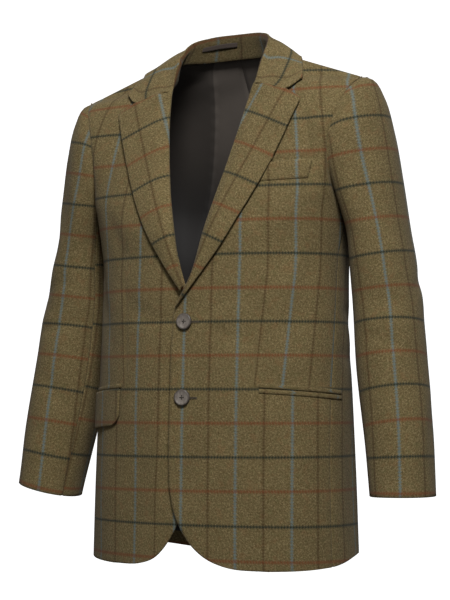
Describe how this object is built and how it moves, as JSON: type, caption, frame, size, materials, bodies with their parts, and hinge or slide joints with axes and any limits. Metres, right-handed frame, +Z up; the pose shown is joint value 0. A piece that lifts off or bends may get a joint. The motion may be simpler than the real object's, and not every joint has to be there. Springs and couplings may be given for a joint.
{
  "type": "tweed sports jacket",
  "caption": "Single-breasted tweed sports jacket filled out as if worn, with turned-back notch lapels, a turned-down collar, two-piece sleeves and rounded front corners; hollow throughout.",
  "frame": {"origin": "between the shoulders, halfway down the slope of the shoulder seams, inside the neck: where the wearer's shoulders hold the jacket", "axes": "+Z up the body, -Y out of the front, +X towards the wearer's left"},
  "size_m": [0.639, 0.281, 0.7643],
  "materials": {
    "tweed": "matte woollen twill, olive brown with an overcheck",
    "tweed_shaded": "the same woollen twill on the panels turned from the light",
    "lining": "smooth dark brown lining twill with a soft sheen",
    "horn": "satin grey-brown horn-look buttons",
    "tape": "narrow dark brown woven tape"
  },
  "bodies": {
    "root": {"front_left": "tweed", "front_right": "tweed", "side_left": "tweed_shaded", "side_right": "tweed_shaded", "back_left": "tweed", "back_right": "tweed", "lining_back_left": "lining", "lining_back_right": "lining", "top_sleeve_left": "tweed", "top_sleeve_right": "tweed", "under_sleeve_left": "tweed_shaded", "under_sleeve_right": "tweed_shaded", "collar": "tweed", "hanger_loop": "tape", "lapel_left": "tweed", "lapel_right": "tweed", "breast_welt": "tweed", "hip_jet_left_upper": "tweed", "hip_jet_left_lower": "tweed", "hip_jet_right_upper": "tweed", "hip_flap_right": "tweed", "button_upper": "horn", "button_lower": "horn"}
  },
  "joints": []
}
